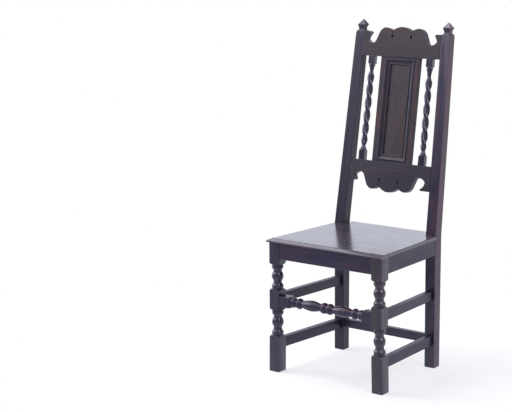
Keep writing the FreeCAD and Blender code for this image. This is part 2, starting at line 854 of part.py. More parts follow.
def scalloped_half(rail, side, edge, way):
    """Outline of a scalloped rail from its straight edge, round one end, to its middle lobe."""
    turn = mm.notch_radius
    hook = rail_size(rail, side + "_hook")
    tip = rail_size(rail, side + "_tip")
    wall = rail_size(rail, "notch_wall")
    notch = rail_size(rail, "notch_rise")
    cusp = rail_size(rail, "cusp")
    side_lobe = rail_size(rail, "side_lobe")
    shoulder_rise = side_lobe - (mm.shoulder_out - mm.side_lobe_out) * SHOULDER_FALL_SHARE
    nose_out = tip + turn * HOOK_NOSE_SHARES[0]
    nose_rise = hook - turn * HOOK_NOSE_SHARES[1]
    wall_top = notch + turn * WALL_TOP_SHARE - turn * HOOK_TURN_SHARES[1]

    def at(x, rise):
        return (x * (1 if side == "right" else -1), rise * way)

    return [
        [at(post_inner_at(edge), zero)],
        [at(post_inner_at(edge + hook * way), hook)],
        [at(nose_out, hook)],
        [at(tip, nose_rise)],
        [
            at(wall - turn * HOOK_TURN_SHARES[0], (nose_rise + wall_top) / 2),
            at(wall, wall_top),
        ],
        [
            at(wall - turn * NOTCH_TURN_SHARES[0], notch + turn * NOTCH_TURN_SHARES[1]),
            at(mm.notch_out, notch),
        ],
        [
            at(mm.notch_out - turn * NOTCH_RISE_SHARES[0], notch + turn * NOTCH_RISE_SHARES[1]),
            at(mm.notch_out - turn * NOTCH_END_SHARES[0], notch + turn * NOTCH_END_SHARES[1]),
        ],
        [at(mm.shoulder_out, shoulder_rise)],
        [
            at(
                mm.shoulder_out - turn * SHOULDER_TURN_SHARES[0],
                side_lobe - turn * SHOULDER_TURN_SHARES[1],
            ),
            at(mm.side_lobe_out, side_lobe),
        ],
        [
            at((mm.side_lobe_out + mm.cusp_out) / 2, cusp + (side_lobe - cusp) * SIDE_LOBE_SHARE),
            at(mm.cusp_out, cusp),
        ],
        [
            at(mm.cusp_out / 2, cusp + (mm.rail_lobe - cusp) * MIDDLE_LOBE_SHARE),
            at(zero, mm.rail_lobe),
        ],
    ]


def scalloped_rail(rail, edge, way, tenon, cuts):
    """A board with a lobed edge, hooked ends and two round holes.

    The lobes point up the back when way is 1, and down it when way is -1.
    """
    name = rail + "_rail"
    body = new_body(name + "_board", z=edge, leaning=True)
    left = scalloped_half(rail, "left", edge, way)
    right = scalloped_half(rail, "right", edge, way)
    sketch = new_sketch(body, name + "_outline", "XZ_Plane")
    draw(sketch, left[0][0], right + reversed_steps(left)[:-1])
    pad(body, sketch, mm.rail_thickness, reverse=True)
    eyes = new_sketch(body, name + "_eyes", "XZ_Plane")
    upright = FreeCAD.Vector(0, 0, 1)
    for out in (mm.cusp_out, -mm.cusp_out):
        centre = (out, rail_size(rail, "eye_rise") * way)
        circle = eyes.addGeometry(Part.Circle(vector(centre), upright, float(mm.eye_width / 2)))
        fix_point(eyes, circle, 3, centre)
        held = eyes.addConstraint(Sketcher.Constraint("Diameter", circle, float(mm.eye_width)))
        eyes.setExpression(f"Constraints[{held}]", formula(mm.eye_width))
    pocket_through(body, eyes)
    board = fuse(name + "_with_tenons", body, *both_sides([tenon]))
    keep(cut(name, board, *cuts), name)


def muntins_and_panel():
    """Two muntins, tenoned into both rails, with the panel let in from the front."""
    panel = slab(
        "back_panel",
        (-(muntin_inner + mm.panel_tongue), muntin_inner + mm.panel_tongue),
        (panel_front, panel_front + mm.panel_thickness),
        (lower_edge - mm.panel_tongue, upper_edge + mm.panel_tongue),
        leaning=True,
    )
    body = slab(
        "muntin_stick",
        (muntin_inner, mm.muntin_out),
        (mm.muntin_setback, mm.muntin_setback + mm.muntin_thickness),
        (lower_edge, upper_edge),
        leaning=True,
    )
    rebate = slab(
        "muntin_rebate",
        (muntin_inner - mm.overrun, moulding_outer),
        (mm.muntin_setback - mm.overrun, panel_front),
        (lower_edge - mm.overrun, upper_edge + mm.overrun),
        leaning=True,
    )
    tenon = slab(
        "muntin_tenon",
        (muntin_inner + mm.panel_tongue + mm.tenon_gap, mm.muntin_out - mm.tenon_shoulder / 2),
        (panel_front, panel_front + mm.muntin_tenon_thickness),
        (lower_edge - mm.muntin_tenon_length, upper_edge + mm.muntin_tenon_length),
        leaning=True,
    )
    grooved = cut("muntin_grooved", body, rebate, panel)
    keep(fuse("muntin", grooved, tenon), "panel_muntin_right", "panel_muntin_left")
    keep(panel, "back_panel")
    return [panel] + both_sides([tenon])


def moulding_outline(sketch, point):
    draw(sketch, point(0, 0), shared_steps(MOULDING_SHARES, point))


def level_moulding(name, edge, way):
    """A mitred strip along the top or the bottom of the panel."""
    body = new_body(name + "_strip", leaning=True)
    profile = new_sketch(body, name + "_profile", "YZ_Plane")
    moulding_outline(
        profile,
        lambda across, out: (
            panel_front - mm.moulding_depth * out,
            edge + mm.moulding_width * across * way,
        ),
    )
    pad(body, profile, moulding_outer * 2, middle=True)
    inner = edge + mm.moulding_width * way
    beyond = moulding_outer + mm.overrun
    for side in (-1, 1):
        mitre = new_sketch(body, f"{name}_mitre_{'left' if side < 0 else 'right'}", "XZ_Plane")
        draw(
            mitre,
            (moulding_outer * side, edge),
            [[(beyond * side, edge)], [(beyond * side, inner)], [(field_edge * side, inner)]],
        )
        pocket_through(body, mitre)
    keep(body, name)


def upright_moulding():
    """The mitred strips beside the panel."""
    name = "side_moulding"
    body = new_body(name + "_strip", leaning=True)
    profile = new_sketch(body, name + "_profile", "XY_Plane", lower_edge)
    moulding_outline(
        profile,
        lambda across, out: (
            moulding_outer - mm.moulding_width * across,
            panel_front - mm.moulding_depth * out,
        ),
    )
    pad(body, profile, mm.back_opening)
    for end, edge, way in (("foot", lower_edge, 1), ("top", upper_edge, -1)):
        mitre = new_sketch(body, f"{name}_mitre_{end}", "XZ_Plane")
        inner = edge + mm.moulding_width * way
        draw(
            mitre,
            (moulding_outer, edge),
            [
                [(moulding_outer, edge - mm.overrun * way)],
                [(field_edge - mm.overrun, edge - mm.overrun * way)],
                [(field_edge - mm.overrun, inner)],
                [(field_edge, inner)],
            ],
        )
        pocket_through(body, mitre)
    keep(body, "panel_moulding_right", "panel_moulding_left")


def strand_ring(centre, broad, narrow, turn):
    """Points round a section of two strands, with a hollow between them, turned by an angle."""
    ring = []
    for number in range(TWIST_SIDES):
        around = 2 * math.pi * number / TWIST_SIDES
        reach = narrow + (broad - narrow) * math.cos(around) ** 2
        spot = FreeCAD.Vector(math.cos(around + turn), math.sin(around + turn), 0)
        ring.append(centre + spot * reach)
    return ring


def facet(*points):
    return Part.Face(Part.makePolygon([*points, points[0]]))


def twist(name, side, foot, top):
    """The twisted length of a spindle: two strands that turn to the left as they climb.

    It narrows to a round neck at each end, and leans with the spindle.
    """
    length = float(top - foot)
    lobes = length / float(mm.twist_lobe)
    count = round(lobes * SECTIONS_PER_LOBE)
    rings = []
    for number in range(count + 1):
        rise = float(foot) + length * number / count
        climbed = (rise - float(lower_edge)) / float(mm.back_opening)
        out = float(mm.spindle_foot_out) + float(mm.spindle_top_out - mm.spindle_foot_out) * climbed
        to_end = min(number, count - number) / SECTIONS_PER_LOBE
        swell = math.sin(math.pi / 2 * min(1, to_end * 2))
        broad = float(mm.twist_neck + (mm.twist_width - mm.twist_neck) * swell) / 2
        narrow = float(mm.twist_neck + (mm.twist_waist - mm.twist_neck) * swell) / 2
        turn = TWIST_START + 90 + 180 * lobes * (count - number) / count
        centre = FreeCAD.Vector(out * side, 0, rise)
        rings.append(strand_ring(centre, broad, narrow, math.radians(turn)))
    faces = [facet(*reversed(rings[0])), facet(*rings[-1])]
    for lower, upper in zip(rings, rings[1:]):
        for here in range(TWIST_SIDES):
            there = (here + 1) % TWIST_SIDES
            faces.append(facet(lower[here], lower[there], upper[there]))
            faces.append(facet(lower[here], upper[there], upper[here]))
    item = doc.addObject("Part::Feature", name)
    item.Shape = Part.makeSolid(Part.makeShell(faces))
    place(item, zero, mm.spindle_block / 2, zero, leaning=True)
    return item


def spindle_collar(name, out, foot, length, foot_width, top_width):
    """A turned taper between two heights of a spindle."""
    item = doc.addObject("Part::Cone", name)
    bind(item, Radius1=foot_width / 2, Radius2=top_width / 2, Height=length)
    place(item, out, mm.spindle_block / 2, foot, leaning=True)
    return item


def twist_spindle(side, word):
    """A square block at each end, turned collars and a two-start twist between them."""
    depth = (zero, mm.spindle_block)
    middle = mm.spindle_block / 2
    foot_out = mm.spindle_foot_out * side
    top_out = mm.spindle_top_out * side
    foot_block_top = lower_edge + mm.spindle_foot_block
    top_block_foot = upper_edge - mm.spindle_top_block
    twist_foot = foot_block_top + mm.spindle_foot_collar
    top_collar = getattr(mm, word + "_top_collar")
    twist_top = top_block_foot - top_collar
    ring = mm.spindle_foot_collar * FOOT_RING_SHARE
    top_ring = top_collar * TOP_RING_SHARE
    wide = mm.spindle_block * RING_WIDTH_SHARE
    pins = [
        slab(
            f"spindle_foot_pin_{word}",
            span(foot_out, mm.spindle_pin),
            span(middle, mm.spindle_pin),
            (lower_edge - mm.spindle_pin_length, lower_edge),
            leaning=True,
        ),
        slab(
            f"spindle_top_pin_{word}",
            span(top_out, mm.spindle_pin),
            span(middle, mm.spindle_pin),
            (upper_edge, upper_edge + mm.spindle_pin_length),
            leaning=True,
        ),
    ]
    shapes = [
        slab(
            f"spindle_foot_block_{word}",
            span(foot_out, mm.spindle_block),
            depth,
            (lower_edge, foot_block_top),
            leaning=True,
        ),
        slab(
            f"spindle_top_block_{word}",
            span(top_out, mm.spindle_block),
            depth,
            (top_block_foot, upper_edge),
            leaning=True,
        ),
        spindle_collar(f"spindle_foot_ring_{word}", foot_out, foot_block_top, ring, wide, wide),
        spindle_collar(
            f"spindle_foot_collar_{word}",
            foot_out,
            foot_block_top + ring,
            mm.spindle_foot_collar - ring,
            wide * TAPER_WIDTH_SHARE,
            mm.twist_neck,
        ),
        spindle_collar(
            f"spindle_top_collar_{word}",
            top_out,
            twist_top,
            top_collar - top_ring,
            mm.twist_neck,
            wide * TAPER_WIDTH_SHARE,
        ),
        spindle_collar(
            f"spindle_top_ring_{word}", top_out, top_block_foot - top_ring, top_ring, wide, wide
        ),
        twist(f"spindle_twist_{word}", side, twist_foot, twist_top),
    ]
    keep(fuse("spindle_" + word, *shapes, *pins), f"twist_spindle_{word}")
    return pins


def seat_side(y):
    """Half the width of the seat at a distance back; its sides run from leg to post."""
    front = leg_outer + mm.side_nosing
    rear = post_outer + mm.rear_nosing
    return front - (front - rear) * y / mm.post_distance


def is_seat_side(edge):
    """True for the slanting upper edges at the sides of a seat board."""
    run = edge.Vertexes[-1].Point - edge.Vertexes[0].Point
    level = abs(edge.Vertexes[0].Z - float(mm.seat_height)) < TINY and abs(run.z) < TINY
    return level and abs(run.x) > TINY and abs(run.y) > abs(run.x)


def seat_board(name, outline, pegs, thumb=False):
    """One of the two boards of the seat; the front one has a thumb moulding."""
    body = new_body(name + "_plank")
    plan = new_sketch(body, name + "_plan", "XY_Plane", rail_top)
    draw(plan, outline[0], [[point] for point in outline[1:]])
    board = pad(body, plan, mm.seat_thickness)
    if thumb:
        step = new_sketch(body, name + "_thumb", "YZ_Plane")
        rear = mm.thumb_width - mm.nosing
        quirk = mm.seat_height - mm.thumb_quirk
        fall = quirk - mm.thumb_drop
        above = mm.seat_height + mm.overrun
        draw(
            step,
            (rear, above),
            [
                [(-mm.nosing - mm.overrun, above)],
                [(-mm.nosing - mm.overrun, fall)],
                [(-mm.nosing, fall)],
                [
                    (
                        rear - mm.thumb_width * THUMB_SHARES[0],
                        quirk - mm.thumb_drop * THUMB_SHARES[1],
                    ),
                    (rear, quirk),
                ],
            ],
        )
        board = pocket_through(body, step)
    ease_edges(body, board, is_seat_side, mm.side_round, "PartDesign::Fillet")
    keep(cut(name, body, pegs), name)


def seat_boards(pegs):
    front_y = -mm.nosing
    joint = mm.board_joint
    seat_board(
        "seat_board_front",
        [
            (-seat_side(front_y), front_y),
            (seat_side(front_y), front_y),
            (seat_side(joint), joint),
            (-seat_side(joint), joint),
        ],
        pegs,
        thumb=True,
    )
    rear = mm.post_distance
    seat_board(
        "seat_board_rear",
        [
            (-seat_side(joint), joint),
            (seat_side(joint), joint),
            (seat_side(rear), rear),
            (post_inner, rear),
            (post_inner, mm.seat_rear),
            (-post_inner, mm.seat_rear),
            (-post_inner, rear),
            (-seat_side(rear), rear),
        ],
        pegs,
    )


def side_bar(name, front, rear, thickness, foot, depth, tools):
    """A timber between a front leg and a rear post, slanting in towards the rear."""
    body = new_body(name + "_bar")
    plan = new_sketch(body, name + "_plan", "XY_Plane", foot)
    half = thickness / 2
    draw(
        plan,
        (front - half, mm.leg_square),
        [
            [(front + half, mm.leg_square)],
            [(rear + half, mm.post_distance)],
            [(rear - half, mm.post_distance)],
        ],
    )
    bar = pad(body, plan, depth)
    ease_edges(body, bar, lambda edge: runs_along(edge, "y", mm.leg_square), mm.board_arris)
    joined = fuse(name + "_with_tenons", body, *tools["tenons"])
    keep(cut(name, joined, tools["pegs"]), name + "_right", name + "_left")


def cross_bar(name, half, y, z, tools):
    """A timber between the two legs or the two posts."""
    body = new_body(name + "_bar")
    section = new_sketch(body, name + "_section", "YZ_Plane")
    nip = mm.board_arris
    outline = corners(y, z, nip)
    draw(section, outline[0], [[point] for point in outline[1:]])
    pad(body, section, half * 2, middle=True)
    joined = fuse(name + "_with_tenons", body, *both_sides(tools["tenons"]))
    keep(cut(name, joined, *tools["pegs"]), name)


def turned_groove(body, name, foot, top):
    """Turn a length of a square leg down to its outline."""
    half = mm.leg_square / 2
    clear = half + mm.overrun
    slope = mm.block_shoulder
    sketch = new_sketch(body, name, "XZ_Plane")
    steps = shared_steps(
        LEG_TURNING_SHARES, lambda along, out: (half * out, foot + (top - foot) * along)
    )
    rise = (clear - half) * slope / (half * CORNER_SHARE)
    draw(
        sketch,
        (clear, foot - rise),
        [[(half, foot)]] + steps + [[(half, top)], [(clear, top + rise)]],
    )
    groove = body.newObject("PartDesign::Groove", name + "_groove")
    groove.Profile = sketch
    groove.ReferenceAxis = (sketch, ["V_Axis"])
    groove.Angle = 360
    return groove


def front_leg(mortises):
    """A square leg turned between its three blocks."""
    body = new_body("leg_timber", leg_middle, mm.leg_square / 2)
    half = mm.leg_square / 2
    square = new_sketch(body, "leg_section", "XY_Plane")
    draw(square, (-half, -half), [[(half, -half)], [(half, half)], [(-half, half)]])
    timber = pad(body, square, rail_top)
    ease_edges(body, timber, lambda edge: edge.BoundBox.ZMin < TINY, mm.arris)
    turned_groove(body, "lower_turning", mm.low_turning_foot, mm.low_turning_top)
    turned_groove(body, "upper_turning", mm.top_turning_foot, mm.top_turning_top)
    keep(cut("front_leg", body, *mortises), "front_leg_right", "front_leg_left")


def front_stretcher(tenon, pegs):
    """A turned stretcher with square ends: beads, two vases and necks, alike on both sides."""
    body = new_body("stretcher_timber", y=mm.leg_square / 2, z=mm.stretcher_axis)
    half = mm.stretcher_square / 2
    turned = mm.stretcher_turning / 2
    section = new_sketch(body, "stretcher_section", "YZ_Plane")
    outline = corners((-half, half), (-half, half), mm.board_arris)
    draw(section, outline[0], [[point] for point in outline[1:]])
    pad(body, section, leg_inner * 2, middle=True)
    clear = half + mm.overrun
    rise = (clear - half) * mm.block_shoulder / (half * CORNER_SHARE)
    right = shared_steps(
        STRETCHER_TURNING_SHARES, lambda along, out: (turned * along, half * out)
    )
    left = shared_steps(
        STRETCHER_TURNING_SHARES, lambda along, out: (-turned * along, half * out)
    )
    sketch = new_sketch(body, "stretcher_turning_outline", "XZ_Plane")
    draw(
        sketch,
        (-turned - rise, clear),
        [[(-turned, half)], [left[-1][-1]]]
        + reversed_steps(left)
        + right[1:]
        + [[(turned, half)], [(turned + rise, clear)]],
    )
    groove = body.newObject("PartDesign::Groove", "stretcher_groove")
    groove.Profile = sketch
    groove.ReferenceAxis = (sketch, ["H_Axis"])
    groove.Angle = 360
    joined = fuse("front_stretcher_with_tenons", body, *both_sides([tenon]))
    keep(cut("front_stretcher", joined, pegs), "front_stretcher")


def build_chair():
    made = tenons()
    rail_pegs = group("seat_rail_pegs", seat_rail_pegs())
    low_pegs = group("stretcher_pegs", stretcher_pegs())
    frame_pegs = group("back_frame_pegs", back_frame_pegs())
    board_pegs = group("seat_board_pegs", seat_board_pegs())

    rear_post(
        [made[name] for name in ("side_rail_rear", "rear_rail", "upper_rear", "lower_rear")]
        + [made[name] for name in ("rear_stretcher", "crest", "lower_back")]
        + [rail_pegs, low_pegs, frame_pegs]
    )
    front_leg(
        [made[name] for name in ("side_rail_front", "front_rail", "upper_front", "lower_front")]
        + [made["front_stretcher"], rail_pegs, low_pegs]
    )

    held = muntins_and_panel()
    level_moulding("panel_moulding_top", upper_edge, -1)
    level_moulding("panel_moulding_bottom", lower_edge, 1)
    upright_moulding()
    pins = twist_spindle(-1, "left") + twist_spindle(1, "right")
    let_in = held + pins + [frame_pegs]
    scalloped_rail("crest", upper_edge, 1, made["crest"], let_in)
    scalloped_rail("lower_back", lower_edge, -1, made["lower_back"], let_in)

    seat_boards(board_pegs)
    side_bar(
        "side_seat_rail",
        rail_middle_front,
        rail_middle_rear,
        mm.seat_rail_thickness,
        rail_foot,
        mm.seat_rail_depth,
        {
            "tenons": [made["side_rail_front"], made["side_rail_rear"]],
            "pegs": fuse("side_rail_holes", rail_pegs, board_pegs),
        },
    )
    cross_bar(
        "front_seat_rail",
        leg_inner,
        (mm.front_rail_setback, mm.front_rail_setback + mm.front_rail_thickness),
        (rail_foot, rail_top),
        {"tenons": [made["front_rail"]], "pegs": [rail_pegs, board_pegs]},
    )
    rear_front = mm.post_distance + mm.rear_rail_setback
    cross_bar(
        "rear_seat_rail",
        post_inner,
        (rear_front, rear_front + mm.front_rail_thickness),
        (rail_foot, rail_top),
        {"tenons": [made["rear_rail"]], "pegs": [rail_pegs, board_pegs]},
    )
    for level, foot, depth in (
        ("upper", mm.upper_stretcher_height, mm.upper_stretcher_depth),
        ("lower", mm.lower_stretcher_height, mm.lower_stretcher_depth),
    ):
        side_bar(
            level + "_side_stretcher",
            stretcher_out,
            stretcher_in,
            mm.side_stretcher_thickness,
            foot,
            depth,
            {"tenons": [made[level + "_front"], made[level + "_rear"]], "pegs": low_pegs},
        )
    low_front = mm.post_distance + mm.rear_stretcher_setback
    cross_bar(
        "rear_stretcher",
        post_inner,
        (low_front, low_front + mm.rear_stretcher_thickness),
        (mm.rear_stretcher_height, mm.rear_stretcher_height + mm.rear_stretcher_depth),
        {"tenons": [made["rear_stretcher"]], "pegs": [low_pegs]},
    )
    front_stretcher(made["front_stretcher"], low_pegs)
    for pegs in (rail_pegs, low_pegs, frame_pegs, board_pegs):
        keep(pegs, pegs.Name)


build_chair()
doc.recompute()

failed = [item.Name for item in doc.Objects if {"Invalid", "Error"} & set(item.State)]
failed += [
    piece.Label for piece in pieces if piece.Shape.isNull() or not piece.Shape.isValid()
]
if failed:
    raise RuntimeError("no sound shape: " + ", ".join(failed))

os.makedirs("parts", exist_ok=True)
for piece in pieces:
    piece.Shape.exportStep(f"parts/{piece.Label}.step")
    print(f"{piece.Label}: {len(piece.Shape.Solids)} solids, {piece.Shape.Volume / 1000:.1f} cm3")
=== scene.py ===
import math

import bmesh
import bpy
from mathutils import Matrix, Vector


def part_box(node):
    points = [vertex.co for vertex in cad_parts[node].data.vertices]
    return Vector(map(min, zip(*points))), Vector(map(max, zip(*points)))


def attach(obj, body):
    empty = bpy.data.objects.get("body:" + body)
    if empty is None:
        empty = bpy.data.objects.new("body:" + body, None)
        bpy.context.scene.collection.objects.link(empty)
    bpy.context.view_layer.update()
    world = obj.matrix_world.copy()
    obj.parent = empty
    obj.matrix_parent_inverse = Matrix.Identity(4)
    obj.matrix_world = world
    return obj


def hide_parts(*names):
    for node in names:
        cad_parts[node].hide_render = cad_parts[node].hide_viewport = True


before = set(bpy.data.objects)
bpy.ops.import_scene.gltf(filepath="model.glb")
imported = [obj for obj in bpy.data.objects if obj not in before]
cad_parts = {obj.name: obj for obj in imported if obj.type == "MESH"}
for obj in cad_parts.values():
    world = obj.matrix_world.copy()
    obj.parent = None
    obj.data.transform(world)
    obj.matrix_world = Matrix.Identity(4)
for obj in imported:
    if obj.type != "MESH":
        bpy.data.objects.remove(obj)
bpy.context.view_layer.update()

# A dark oak wainscot chair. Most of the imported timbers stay. The turned legs and stretcher and the
# twist spindles are made again with finer curves, copies of the scalloped rails and of the rear posts
# get their worn details, and every piece gets a waxed oak of its own tone whose grain runs along it.

MM = 0.001


# Colours and nodes

def linear(hex_colour):
    """An sRGB hex colour as the linear colour that a shader takes."""
    parts = [int(hex_colour[place:place + 2], 16) / 255 for place in (1, 3, 5)]
    return [part / 12.92 if part <= 0.04045 else ((part + 0.055) / 1.055) ** 2.4 for part in parts] + [1]


def add(tree, kind, inputs=None, **settings):
    """Add a node, set it up, and give its sockets values or links."""
    node = tree.nodes.new(kind)
    for name, value in settings.items():
        setattr(node, name, value)
    for name, value in (inputs or {}).items():
        if isinstance(value, bpy.types.NodeSocket):
            tree.links.new(value, node.inputs[name])
        else:
            node.inputs[name].default_value = value
    return node


def empty_tree(owner):
    """The cleared node tree of a material or a world."""
    owner.use_nodes = True
    owner.node_tree.nodes.clear()
    return owner.node_tree


def ramp(tree, factor, stops):
    """A colour ramp with stops of (position, hex colour)."""
    node = add(tree, "ShaderNodeValToRGB", {"Fac": factor})
    elements = node.color_ramp.elements
    while len(elements) < len(stops):
        elements.new(1)
    for element, (position, colour) in zip(elements, stops):
        element.position = position
        element.color = linear(colour)
    return node.outputs["Color"]


def spread(tree, value, low, high, to_low=0, to_high=1):
    """Map a value from one range to another, held at its ends."""
    inputs = {"Value": value, "From Min": low, "From Max": high, "To Min": to_low, "To Max": to_high}
    return add(tree, "ShaderNodeMapRange", inputs).outputs["Result"]


def product(tree, first, second):
    return add(tree, "ShaderNodeMath", {0: first, 1: second}, operation="MULTIPLY").outputs[0]


def blend_colours(tree, factor, first, second):
    node = add(tree, "ShaderNodeMix", data_type="RGBA")
    for socket, value in zip((node.inputs[0], node.inputs[6], node.inputs[7]), (factor, first, second)):
        if isinstance(value, bpy.types.NodeSocket):
            tree.links.new(value, socket)
        else:
            socket.default_value = value
    return node.outputs[2]


def waxed_oak(name, grain, tones, wear, roughness, coat, relief=1.0, red=0.0, side=None, polish=0.14):
    """Old oak, stained almost black by smoke and wax, rubbed back to brown on its arrises.

    The eye sees dark growth rings, fine open pores drawn out along the grain, a cloudy patina, long
    red-brown streaks where the stain has thinned, and a wax shine that is duller where dirt has
    settled. grain is the direction of the fibres, wear how far the arrises are rubbed, relief the
    depth of rings and pores, red the strength of the streaks, and polish the roughness of the wax.
    side is painted light or shade: a tone of its own for the faces that look to the chair's right,
    darker or lighter as the light falls on that side.
    """
    material = bpy.data.materials.new(name)
    tree = empty_tree(material)
    here = add(tree, "ShaderNodeTexCoord").outputs["Object"]
    # Growth rings show every 4 mm or so and run on for about 90 mm; pores are 1.3 mm by 20 mm,
    # three times their real size, because real ones would be too fine to show.
    ring_size, ring_run = 4 * MM, 90 * MM
    pore_size, pore_run = 1.3 * MM, 20 * MM
    streak_size, streak_run = 16 * MM, 260 * MM
    cloud_size, cloud_run = 55 * MM, 120 * MM

    def grained_noise(across, run, detail, rough, distortion=0.0):
        scale = [1 / across] * 3
        scale["XYZ".index(grain)] = 1 / run
        drawn = add(tree, "ShaderNodeMapping", {"Vector": here, "Scale": scale})
        return add(
            tree, "ShaderNodeTexNoise",
            {
                "Vector": drawn.outputs["Vector"], "Scale": 1, "Detail": detail, "Roughness": rough,
                "Distortion": distortion,
            },
        ).outputs["Fac"]

    rings = grained_noise(ring_size, ring_run, 3, 0.55, 0.4)
    pores = grained_noise(pore_size, pore_run, 2, 0.6)
    streaks = grained_noise(streak_size, streak_run, 2, 0.5, 0.3)
    clouds = grained_noise(cloud_size, cloud_run, 3, 0.6)

    dark, middle, warm, rubbed, ruddy = tones
    wood = ramp(tree, rings, [(0.32, dark), (0.52, middle), (0.7, warm)])
    wood = blend_colours(tree, spread(tree, clouds, 0.42, 0.66, 0, 0.7), wood, linear(warm))
    if red:
        wood = blend_colours(tree, spread(tree, streaks, 0.47, 0.66, 0, red), wood, linear(ruddy))
    flat = add(tree, "ShaderNodeNewGeometry").outputs["Normal"]
    # Painted light and shade: faces that look to the chair's right take the side tone
    if side:
        across = add(tree, "ShaderNodeSeparateXYZ", {"Vector": flat}).outputs["X"]
        wood = blend_colours(tree, spread(tree, across, 0.5, 0.9, 0, 0.85), wood, linear(side))
    # Rubbed arrises: where a rounded surface would turn away from the flat one
    rounded = add(tree, "ShaderNodeBevel", {"Radius": 3.2 * MM}, samples=4).outputs["Normal"]
    facing = add(
        tree, "ShaderNodeVectorMath", {0: rounded, 1: flat}, operation="DOT_PRODUCT"
    ).outputs["Value"]
    edge = product(tree, spread(tree, facing, 0.985, 0.8), spread(tree, clouds, 0.3, 0.62, 0.25, 1))
    wood = blend_colours(tree, product(tree, edge, wear), wood, linear(rubbed))
    # Painted shade: the corners darken where ambient occlusion finds them; and dark open pores
    corners = add(tree, "ShaderNodeAmbientOcclusion", {"Distance": 14 * MM}, samples=6).outputs["AO"]
    wood = blend_colours(tree, spread(tree, corners, 0.75, 0.2, 0, 0.8), wood, linear(dark))
    wood = blend_colours(tree, spread(tree, pores, 0.56, 0.7, 0, 0.5), wood, linear(dark))

    dullness = spread(tree, clouds, 0.3, 0.7, roughness - 0.06, roughness + 0.08)
    soft_arris = add(tree, "ShaderNodeBevel", {"Radius": 1.2 * MM}, samples=4).outputs["Normal"]
    height = blend_colours(tree, 0.45, rings, pores)
    bump = add(
        tree, "ShaderNodeBump",
        {"Height": height, "Strength": 0.2 * relief, "Distance": 0.6 * MM, "Normal": soft_arris},
    ).outputs["Normal"]
    shader = add(
        tree, "ShaderNodeBsdfPrincipled",
        {
            "Base Color": wood, "Roughness": dullness, "Normal": bump, "IOR": 1.5,
            "Coat Weight": coat, "Coat Roughness": polish, "Coat IOR": 1.5,
        },
    )
    add(tree, "ShaderNodeOutputMaterial", {"Surface": shader.outputs["BSDF"]})
    return material


# Tones: growth rings, ground, warm patches, rubbed arrises, thin stain
RAIL_TONES = ("#131119", "#221f29", "#2e2a32", "#453b40", "#40282a")
DEEP_TONES = ("#0f0e1a", "#1a1728", "#251f2f", "#41394c", "#38212a")
VIOLET_TONES = ("#141224", "#221e36", "#2f273b", "#564b60", "#462734")
GREY_TONES = ("#1f1c1e", "#302c2f", "#3e3837", "#5c5152", "#4a2d2e")
BACK_TONES = ("#171214", "#281f21", "#37292a", "#4e3c3a", "#4a2829")
PANEL_TONES = ("#1e1615", "#33292a", "#41342f", "#4f403b", "#4c2f2a")
MUNTIN_TONES = ("#171014", "#2a1e24", "#39282d", "#4e3b3e", "#4e2a2a")
SEAT_TONES = ("#1c1720", "#2d242e", "#3f3035", "#64494a", "#52302f")

# Each side tone below is painted light or shade on the faces that look to the chair's right: painted shade
# on most pieces, a painted ruddy light on the right post's outer side
violet_upright = waxed_oak(
    "waxed oak, violet bloom, upright grain", "Z", VIOLET_TONES,
    wear=0.7, roughness=0.28, coat=0.6, red=0.25, side="#0f0c20",
)
grey_upright = waxed_oak(
    "waxed oak, worn grey, upright grain", "Z", GREY_TONES, wear=0.7, roughness=0.32, coat=0.5, red=0.2
)
shaded_upright = waxed_oak(
    "waxed oak, left post with painted shade on its inner side", "Z", DEEP_TONES,
    wear=0.5, roughness=0.46, coat=0.1, red=0.25, side="#0f0d19",
)
ruddy_upright = waxed_oak(
    "waxed oak, right post with a ruddy outer side", "Z", VIOLET_TONES,
    wear=0.7, roughness=0.38, coat=0.25, red=0.85, side="#4a2d34",
)
spindle_oak = waxed_oak(
    "waxed oak, twists", "Z", DEEP_TONES,
    wear=0.4, roughness=0.18, coat=0.9, relief=0.3, polish=0.1, side="#0d0b17",
)
level_oak = waxed_oak(
    "waxed oak, level grain", "X", VIOLET_TONES, wear=0.7, roughness=0.36, coat=0.3, red=0.75
)
deep_oak = waxed_oak(
    "waxed oak, grain to the back", "Y", VIOLET_TONES,
    wear=0.6, roughness=0.42, coat=0.15, red=0.3, side="#181229",
)
carved_oak = waxed_oak(
    "waxed oak, crest rail", "X", BACK_TONES, wear=0.6, roughness=0.44, coat=0.1, red=0.4, side="#1f1b27"
)
shaded_oak = waxed_oak(
    "waxed oak, lower back rail", "X", RAIL_TONES,
    wear=0.6, roughness=0.44, coat=0.1, red=0.35, side="#16131e",
)
panel_oak = waxed_oak(
    "waxed oak, panel", "Z", PANEL_TONES, wear=0.4, roughness=0.42, coat=0.15, red=0.45
)
muntin_oak = waxed_oak(
    "waxed oak, muntins", "Z", MUNTIN_TONES, wear=0.3, roughness=0.5, coat=0.0, red=0.9, side="#0c0a12"
)
moulded_oak = waxed_oak(
    "waxed oak, mouldings", "Z", RAIL_TONES, wear=0.6, roughness=0.44, coat=0.05, red=0.7
)
seat_oak = waxed_oak(
    "polished oak, seat", "X", SEAT_TONES,
    wear=0.9, roughness=0.26, coat=1.0, relief=0.25, red=0.5, polish=0.17,
)
peg_oak = waxed_oak("oak pegs, end grain", "Y", GREY_TONES, wear=0.3, roughness=0.5, coat=0.1)

FINISHES = {
    "rear_post_left": shaded_upright, "rear_post_right": ruddy_upright,
    "front_leg_left": violet_upright, "front_leg_right": grey_upright,
    "panel_muntin": muntin_oak, "back_panel": panel_oak, "panel_moulding": moulded_oak,
    "twist_spindle": spindle_oak, "crest_rail": carved_oak, "lower_back_rail": shaded_oak,
    "seat_board": seat_oak, "side_seat_rail": deep_oak, "front_seat_rail": level_oak,
    "rear_seat_rail": level_oak, "upper_side_stretcher": deep_oak, "lower_side_stretcher": deep_oak,
    "rear_stretcher": level_oak, "front_stretcher": level_oak,
}


